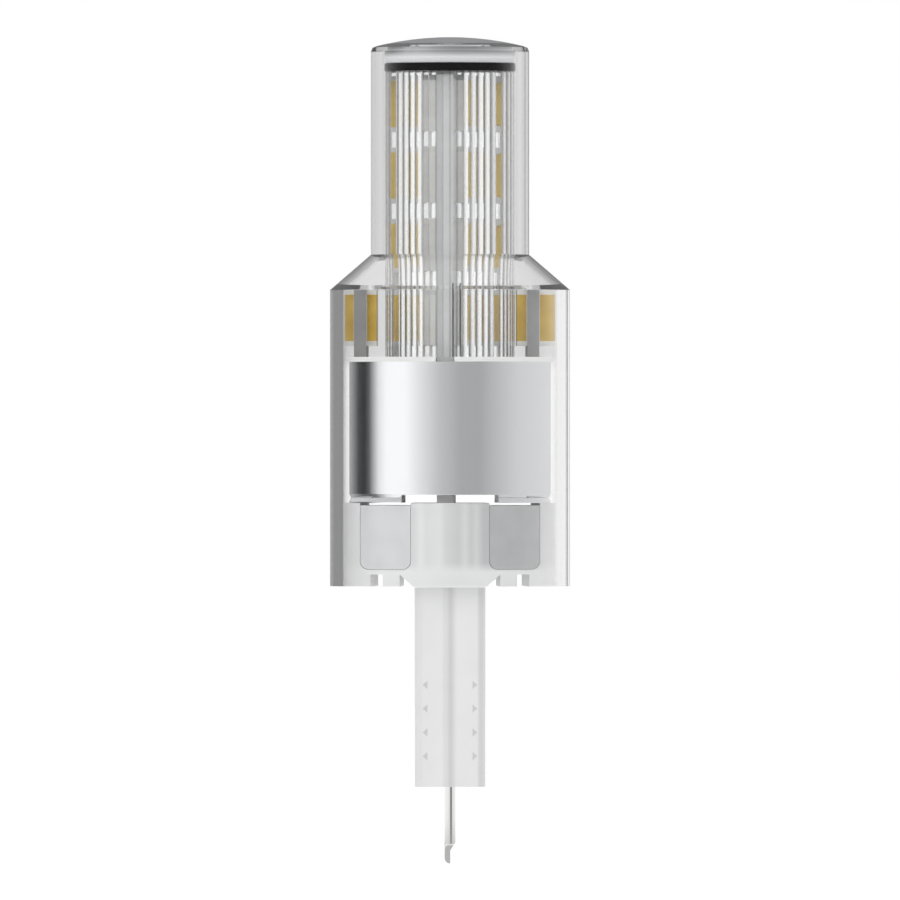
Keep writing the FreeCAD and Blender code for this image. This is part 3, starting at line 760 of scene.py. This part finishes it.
@dataclass
class LightTube:
    """Clear tube with low rounded ribs inside and four V notches that throw the LEDs' image out.

    Faces shade smooth where they lean less than the upright limit, and edges sharper than
    sharp_degrees stay sharp.
    """

    node: str = "fluted_light_tube"
    ribs: int = LIGHT_TUBE_PLASTIC.ribs
    bore_mm: float = LIGHT_TUBE_PLASTIC.bore_mm
    rib_height_mm: float = 0.05
    steps_per_rib: int = 10
    sharp_degrees: float = 25.0
    upright_limit: float = 0.5
    notches: tuple[Notch, ...] = (
        Notch(207.0, 1.5, 5.0, 0.3), Notch(316.0, 4.5, 1.5, 0.25),
        Notch(27.0, 1.5, 5.0, 0.3), Notch(136.0, 4.5, 1.5, 0.25),
    )

    def rib_radius(self, share: float, tip: float) -> float:
        """Radius of the ribbed bore: ribs that bulge towards the axis and meet in sharp valleys.

        Args:
            share: Place across one rib, from -1 to 1.
            tip: Radius at the rib's middle.

        Returns:
            The radius, in millimetres.
        """
        half = math.pi * tip / self.ribs
        bend = (half ** 2 + self.rib_height_mm ** 2) / (2 * self.rib_height_mm)
        return tip + bend - math.sqrt(bend ** 2 - (share * half) ** 2)

    def bore_points(self, tip: float) -> list[tuple[float, float]]:
        """Outline of the bore, ribs and notches.

        Args:
            tip: Radius at the ribs' middles.

        Returns:
            Pairs of degrees round the axis and radius in millimetres, in order.
        """
        points = []
        for number in range(self.ribs * self.steps_per_rib):
            turn = 360 * number / (self.ribs * self.steps_per_rib)
            share = 2 * (number % self.steps_per_rib) / self.steps_per_rib - 1
            if not any(notch.spans(turn) for notch in self.notches):
                points.append((turn, self.rib_radius(share, tip)))
        for notch in self.notches:
            deepest = notch.start_degrees + notch.opening_degrees
            points.append((notch.start_degrees % 360, tip))
            points.append((deepest % 360, tip + notch.depth_mm))
            points.append(((deepest + notch.closing_degrees) % 360, tip))
        return sorted(points)

    def build_mesh(self) -> bpy.types.Object:
        """Makes the fluted tube between the disc and the gasket.

        Returns:
            The new piece.
        """
        low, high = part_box(self.node)
        outer = high.x / MM
        bore = self.bore_points(self.bore_mm)
        count = len(bore)
        inner_points = [
            (r * math.cos(math.radians(a)), r * math.sin(math.radians(a))) for a, r in bore
        ]
        outer_points = [
            (outer * math.cos(math.radians(a)), outer * math.sin(math.radians(a))) for a, _ in bore
        ]
        mesh = bmesh.new()
        rings = []
        for points, height in (
            (inner_points, low.z), (inner_points, high.z), (outer_points, high.z),
            (outer_points, low.z),
        ):
            rings.append([mesh.verts.new((x * MM, y * MM, height)) for x, y in points])
        for ring, following in zip(rings, rings[1:] + rings[:1]):
            for n in range(count):
                after = (n + 1) % count
                mesh.faces.new((ring[n], following[n], following[after], ring[after]))
        bmesh.ops.recalc_face_normals(mesh, faces=mesh.faces)
        for face in mesh.faces:
            face.smooth = abs(face.normal.z) < self.upright_limit
        for edge in mesh.edges:
            edge.smooth = edge.calc_face_angle() <= math.radians(self.sharp_degrees)
        data = bpy.data.meshes.new("ribbed_light_tube")
        mesh.to_mesh(data)
        mesh.free()
        piece = bpy.data.objects.new("ribbed_light_tube", data)
        bpy.context.scene.collection.objects.link(piece)
        return piece

    def build(self) -> None:
        """Builds and dresses the light tube."""
        piece = self.build_mesh()
        piece.data.materials.append(LIGHT_TUBE_PLASTIC.make())
        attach(piece, "root")
        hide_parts(self.node)
        dress([self.node], HOUSING_PLASTIC.make())
        LOG.info("%s: %d faces", piece.name, len(piece.data.polygons))


@dataclass
class LedBoard:
    """Board with LEDs on both faces."""

    board: str = "circuit_board"
    disc: str = "reflector_disc"
    side_boards: tuple[str, ...] = ("side_board_left", "side_board_right")

    def build(self) -> None:
        """Dresses the board, the disc and every LED."""
        dress([self.board], BOARD_MASK.make())
        dress([self.disc], DISC_PLASTIC.make())
        dress(self.side_boards, SIDE_BOARD_CORE.make())
        cases = [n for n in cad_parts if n.startswith("led_case")]
        phosphors = [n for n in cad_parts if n.startswith("led_phosphor")]
        dress(cases, CASE_RESIN.make())
        dress([n for n in phosphors if "side" in n], PHOSPHOR.make())
        dress([n for n in phosphors if "side" not in n], BRIGHT_PHOSPHOR.make())


@dataclass
class Driver:
    """Metal sleeve and the driver's parts in it."""

    sleeve: str = "metal_sleeve"

    def build(self) -> None:
        """Dresses the sleeve and what it hides."""
        dress([self.sleeve], SLEEVE_METAL.make())
        dress(["smoothing_capacitor"], CAPACITOR_SLEEVE.make())
        dress(["bridge_rectifier", "driver_chip"], DRIVER_MOULD.make())
        dress(["input_capacitor"], CERAMIC.make())
        dress(["fuse_resistor", "sense_resistor"], RESISTOR_LACQUER.make())


@dataclass
class BasePlug:
    """Milky plug moulding, its potting and the contact loops."""

    plug: str = "base_plug"

    def build(self) -> None:
        """Dresses the plug, the potting and the loops."""
        dress([self.plug], PLUG_PLASTIC.make())
        # One potting in both pockets: the left copy is painted lighter as painted light, the right one
        # darker as painted shade
        dress(["potting_left"], POTTING_PAINTED_LIGHT.make())
        dress(["potting_right"], POTTING_PAINTED_SHADE.make())
        dress(["contact_loop_front", "contact_loop_rear"], WIRE_METAL.make())


@dataclass(frozen=True)
class SeamlessPaper(Finish):
    """White paper roll under the object: white to the camera, with the object's faint shadow."""

    shadow_share: float = 0.2
    glow_level: float = 0.87

    def paint(self, tree: bpy.types.NodeTree) -> None:
        """Fills the material's node tree.

        Args:
            tree: The tree that gets the nodes.
        """
        paper = add_node(tree, "ShaderNodeBsdfDiffuse", Color=grey(self.shadow_share))
        glow = add_node(tree, "ShaderNodeEmission", Color=grey(self.glow_level), Strength=1.0)
        both = add_node(tree, "ShaderNodeAddShader", in0=paper, in1=glow)
        clear = add_node(tree, "ShaderNodeBsdfTransparent")
        path = add_node(tree, "ShaderNodeLightPath").outputs
        passed = add_node(
            tree, "ShaderNodeMath", {"operation": "MAXIMUM"}, in0=path["Is Transmission Ray"],
            in1=path["Is Glossy Ray"],
        )
        mix = add_node(tree, "ShaderNodeMixShader", in0=passed, in1=both, in2=clear)
        add_node(tree, "ShaderNodeOutputMaterial", Surface=mix)


def both_sides(levels: Levels) -> Levels:
    """Levels at the same degrees to the left as to the right."""
    return tuple((-turn, level) for turn, level in reversed(levels)) + levels


@dataclass(frozen=True)
class Band:
    """One band of the surround: the height it starts from, and its levels round the object.

    Heights are the upward share of a direction. Levels are pairs of degrees from the camera's side
    towards +X and brightness.
    """

    starts_at: float
    levels: Levels


@dataclass(frozen=True)
class Panels:
    """All that one kind of sight meets: bands near the horizon, plain levels above and below them.

    The bands, from the lowest up, give way to the levels by height between two heights. There a
    height below the horizon counts by the share downward.
    """

    bands: tuple[Band, ...]
    by_height: Levels
    give_way: tuple[float, float] = (0.1, 0.3)
    downward: float = 1.0


THROUGH_BY_HEIGHT = ((-1.0, 0.75), (0.3, 0.75), (0.5, 0.45), (1.0, 0.45))


@dataclass
class Surround:
    """What the room shows to gloss and to glass.

    Metal inside the lamp, the light tube, the housing's own gloss, and what is looked through in the
    light tube and beside it get their own panels, as a product studio sets cards for each of them.
    How many clear surfaces a ray has crossed tells which panels it meets.
    """

    metal: Panels = Panels(
        bands=(
            Band(-1.0, (
                (-180, 0.26), (-168, 0.40), (-145, 0.50), (-132, 0.24), (-120, 0.02), (-108, 0.01),
                (-100, 0.12), (-93, 0.52), (-85, 1.05), (-74, 1.30), (-50, 1.28), (-32, 0.96),
                (-11, 0.64), (11, 0.47), (32, 0.45), (55, 0.62), (80, 0.80), (100, 0.84), (130, 0.86),
                (142, 0.86), (168, 0.78), (180, 0.26),
            )),
        ),
        by_height=((-1.0, 0.90), (-0.1, 1.00), (0.1, 0.95), (0.4, 0.80), (1.0, 0.60)),
        give_way=(0.07, 0.14),
        downward=0.12,
    )
    tube: Panels = Panels(
        bands=(
            Band(-1.0, (
                (-180, 0.80), (-172, 0.30), (-165, 0.85), (-137, 0.85), (-125, 0.40), (-100, 0.50),
                (-60, 0.80), (60, 0.80), (100, 0.50), (125, 0.40), (137, 0.70), (165, 0.70),
                (172, 0.30), (180, 0.80),
            )),
        ),
        by_height=((-1.0, 0.8), (1.0, 0.8)),
    )
    walls: Panels = Panels(
        bands=(
            Band(-1.0, ((-180, 0.45), (180, 0.45))),
            Band(-0.0205, (
                (-180, 1.0), (-60, 1.0), (-16, 0.90), (-4, 0.80), (8, 0.20), (34, 0.20), (50, 0.85),
                (180, 1.0),
            )),
            Band(-0.0125, (
                (-180, 0.70), (-172, 0.34), (-160, 0.28), (-138, 0.28), (-126, 0.22), (-100, 0.12),
                (-85, 0.12), (-72, 0.35), (72, 0.35), (110, 0.65), (138, 0.90), (160, 0.90),
                (174, 0.85), (180, 0.95),
            )),
            Band(0.0095, (
                (-180, 0.55), (-172, 0.70), (-160, 0.60), (-138, 0.70), (-120, 0.60), (-80, 0.35),
                (80, 0.35), (120, 0.60), (138, 0.75), (160, 0.60), (172, 0.75), (180, 0.55),
            )),
            Band(0.0192, (
                (-180, 0.55), (-172, 0.70), (-160, 0.60), (-138, 0.70), (-120, 0.60), (-80, 0.12),
                (-60, 0.10), (60, 0.10), (80, 0.12), (120, 0.60), (138, 0.75), (160, 0.60),
                (172, 0.75), (180, 0.55),
            )),
        ),
        by_height=(
            (-1.0, 0.5), (-0.2, 0.5), (-0.05, 0.95), (-0.02, 0.9), (0.0, 0.26), (0.05, 0.24),
            (0.25, 0.32), (0.5, 0.6), (0.7, 0.8), (1.0, 0.95),
        ),
        give_way=(0.024, 0.05),
    )
    through_tube: Panels = Panels(
        bands=(
            Band(-1.0, both_sides((
                (60, 0.80), (90, 0.50), (112, 0.42), (125, 0.55), (135, 0.85), (142, 0.85),
                (147, 0.30), (153, 0.30), (158, 0.90), (166, 0.92), (170, 0.60), (174, 0.90),
                (180, 0.90),
            ))),
        ),
        by_height=THROUGH_BY_HEIGHT,
    )
    beside_tube: Panels = Panels(
        bands=(
            Band(-1.0, both_sides((
                (60, 0.80), (90, 0.50), (112, 0.42), (125, 0.55), (135, 0.90), (180, 1.0),
            ))),
            Band(0.0045, both_sides((
                (60, 0.80), (90, 0.50), (112, 0.42), (125, 0.55), (135, 0.85), (150, 0.66),
                (180, 0.56),
            ))),
        ),
        by_height=THROUGH_BY_HEIGHT,
    )
    brightest: float = 1.3
    soft_edge: float = 0.0004
    crossed_to_metal: float = 2.5
    crossed_to_tube: float = 5.0

    def build_panels(
        self,
        tree: bpy.types.NodeTree,
        turn: bpy.types.Node,
        height: bpy.types.NodeSocket,
        panels: Panels,
    ) -> bpy.types.Node:
        """Joins bands near the horizon with what is above and below them.

        Args:
            tree: The world's node tree.
            turn: Direction round the object in degrees.
            height: Upward share of the direction.
            panels: What is built.

        Returns:
            The node whose output is the level.
        """
        level = level_by_place(tree, turn, 180.0, panels.bands[0].levels, self.brightest)
        for band in panels.bands[1:]:
            inside = add_node(
                tree, "ShaderNodeMapRange", {"interpolation_type": "SMOOTHSTEP"}, Value=height,
                From_Min=band.starts_at - self.soft_edge, From_Max=band.starts_at + self.soft_edge,
                To_Min=0.0, To_Max=1.0,
            )
            level = add_node(
                tree, "ShaderNodeMix", {"data_type": "FLOAT"}, in0=inside, in2=level,
                in3=level_by_place(tree, turn, 180.0, band.levels, self.brightest),
            )
        down = add_node(
            tree, "ShaderNodeMath", {"operation": "MULTIPLY"}, in0=height, in1=-panels.downward,
        )
        away = add_node(tree, "ShaderNodeMath", {"operation": "MAXIMUM"}, in0=height, in1=down)
        steep = add_node(
            tree, "ShaderNodeMapRange", {"interpolation_type": "SMOOTHSTEP"}, Value=away,
            From_Min=panels.give_way[0], From_Max=panels.give_way[1], To_Min=0.0, To_Max=1.0,
        )
        return add_node(
            tree, "ShaderNodeMix", {"data_type": "FLOAT"}, in0=steep, in2=level,
            in3=level_by_place(tree, height, 1.0, panels.by_height, self.brightest),
        )

    def build(
        self, tree: bpy.types.NodeTree, path: bpy.types.bpy_prop_collection, made_up: bpy.types.Node
    ) -> bpy.types.Node:
        """Builds every panel.

        Args:
            tree: The world's node tree.
            path: Outputs of the Light Path node.
            made_up: Node whose output makes up for what the clear walls hold back.

        Returns:
            The node whose output is the level that a glossy or transmitted ray sees.
        """
        direction = add_node(tree, "ShaderNodeTexCoord").outputs["Generated"]
        axes = add_node(tree, "ShaderNodeSeparateXYZ", Vector=direction).outputs
        towards_camera = add_node(
            tree, "ShaderNodeMath", {"operation": "MULTIPLY"}, in0=axes["Y"], in1=-1.0,
        )
        radians = add_node(
            tree, "ShaderNodeMath", {"operation": "ARCTAN2"}, in0=axes["X"], in1=towards_camera,
        )
        turn = add_node(
            tree, "ShaderNodeMath", {"operation": "MULTIPLY"}, in0=radians, in1=math.degrees(1),
        )
        metal, tube, gloss, through_tube, beside_tube = (
            self.build_panels(tree, turn, axes["Z"], panels)
            for panels in (self.metal, self.tube, self.walls, self.through_tube, self.beside_tube)
        )
        for crossed, panels in ((self.crossed_to_metal, metal), (self.crossed_to_tube, tube)):
            within = add_node(
                tree, "ShaderNodeMath", {"operation": "GREATER_THAN"},
                in0=path["Transmission Depth"], in1=crossed,
            )
            gloss = add_node(
                tree, "ShaderNodeMix", {"data_type": "FLOAT"}, in0=within, in2=gloss, in3=panels,
            )
        through = add_node(
            tree, "ShaderNodeMix", {"data_type": "FLOAT"}, in0=within, in2=beside_tube,
            in3=through_tube,
        )
        seen_through = add_node(
            tree, "ShaderNodeMath", {"operation": "MULTIPLY"}, in0=through, in1=made_up,
        )
        reflected = add_node(
            tree, "ShaderNodeMath", {"operation": "GREATER_THAN"}, in0=path["Glossy Depth"],
            in1=FIRST_BOUNCE,
        )
        return add_node(
            tree, "ShaderNodeMix", {"data_type": "FLOAT"}, in0=reflected, in2=seen_through, in3=gloss,
        )


@dataclass(frozen=True)
class Softbox:
    """A soft square lamp: where it hangs, its side in millimetres and its power in watts."""

    name: str
    place_mm: tuple[float, float, float]
    width_mm: float
    power: float


@dataclass
class Studio:
    """Pale floor, white surround, soft lamps and the camera."""

    picture_width_mm: float = 56.25
    centre_height_mm: float = 8.5
    camera_distance_mm: float = 1200.0
    sensor_mm: float = 36.0
    floor_gap_mm: float = 0.2
    floor_width_mm: float = 1500.0
    clip_mm: tuple[float, float] = (50.0, 10000.0)
    held_back: float = 0.06
    lamps: tuple[Softbox, ...] = (
        Softbox("left_softbox", (-260, -160, 140), 180, 0.3),
        Softbox("right_softbox", (260, -120, 100), 180, 0.15),
    )
    surround: Surround = field(default_factory=Surround)

    def build_camera(self) -> None:
        """Puts a long lens level with the middle of the picture, looking along +Y."""
        data = bpy.data.cameras.new("camera")
        data.sensor_width = self.sensor_mm
        data.lens = self.sensor_mm * self.camera_distance_mm / self.picture_width_mm
        data.clip_start, data.clip_end = (distance * MM for distance in self.clip_mm)
        camera = bpy.data.objects.new("camera", data)
        camera.location = (0, -self.camera_distance_mm * MM, self.centre_height_mm * MM)
        camera.rotation_euler = (math.pi / 2, 0, 0)
        bpy.context.scene.collection.objects.link(camera)
        bpy.context.scene.camera = camera

    def build_floor(self) -> None:
        """Lays a pale floor just below the contact loops; it shows white and keeps the shadow."""
        height = CAD_BOX[0].z - self.floor_gap_mm * MM
        half = self.floor_width_mm * MM / 2
        mesh = bpy.data.meshes.new("floor")
        corners = [(x * half, y * half, height) for x, y in ((-1, -1), (1, -1), (1, 1), (-1, 1))]
        mesh.from_pydata(corners, [], [(0, 1, 2, 3)])
        floor = bpy.data.objects.new("floor", mesh)
        bpy.context.scene.collection.objects.link(floor)
        mesh.materials.append(SeamlessPaper("white_seamless_paper").make())

    def build_world(self) -> None:
        """Makes the surround: white for the camera, even for diffuse light, panels for the rest.

        Each clear surface reflects about a twentieth away. What comes through is made up by as much,
        so that colours inside the lamp render about as they are written.
        """
        world = bpy.data.worlds.new("studio_surround")
        bpy.context.scene.world = world
        world.use_nodes = True
        tree = world.node_tree
        tree.nodes.clear()
        path = add_node(tree, "ShaderNodeLightPath").outputs
        made_up = add_node(
            tree, "ShaderNodeMath", {"operation": "POWER"}, in0=1 + self.held_back,
            in1=path["Transmission Depth"],
        )
        panels = self.surround.build(tree, path, made_up)
        specular = add_node(
            tree, "ShaderNodeMath", {"operation": "MAXIMUM"}, in0=path["Is Glossy Ray"],
            in1=path["Is Transmission Ray"],
        )
        direct = add_node(
            tree, "ShaderNodeMath", {"operation": "LESS_THAN"}, in0=path["Diffuse Depth"],
            in1=FIRST_BOUNCE,
        )
        shown = add_node(tree, "ShaderNodeMath", {"operation": "MULTIPLY"}, in0=specular, in1=direct)
        plain = add_node(
            tree, "ShaderNodeMix", {"data_type": "FLOAT"}, in0=path["Is Camera Ray"], in2=made_up,
            in3=1.0,
        )
        seen = add_node(
            tree, "ShaderNodeMix", {"data_type": "FLOAT"}, in0=shown, in2=plain, in3=panels,
        )
        background = add_node(tree, "ShaderNodeBackground", Color=seen, Strength=1.0)
        add_node(tree, "ShaderNodeOutputWorld", Surface=background)

    def build_lamp(self, softbox: Softbox) -> None:
        """Hangs one soft square lamp that points at the object.

        Args:
            softbox: The lamp's name, place, size and power.
        """
        data = bpy.data.lights.new(softbox.name, "AREA")
        data.size = softbox.width_mm * MM
        data.energy = softbox.power
        lamp = bpy.data.objects.new(softbox.name, data)
        lamp.location = Vector(softbox.place_mm) * MM
        lamp.rotation_mode = "QUATERNION"
        lamp.rotation_quaternion = (-lamp.location).to_track_quat("-Z", "Y")
        lamp.visible_glossy = False
        lamp.visible_transmission = False
        bpy.context.scene.collection.objects.link(lamp)

    def build(self) -> None:
        """Builds the whole studio."""
        self.build_camera()
        self.build_floor()
        self.build_world()
        for softbox in self.lamps:
            self.build_lamp(softbox)


def main() -> None:
    """Builds and dresses every sub-assembly, then the studio."""
    logging.basicConfig(level=logging.INFO, format="%(message)s")
    bpy.context.scene.view_settings.view_transform = "Standard"
    for part in (Housing(), CapStack(), LightTube(), LedBoard(), Driver(), BasePlug(), Studio()):
        part.build()
        LOG.info("%s is built", type(part).__name__)


if __name__ == "__main__":
    main()
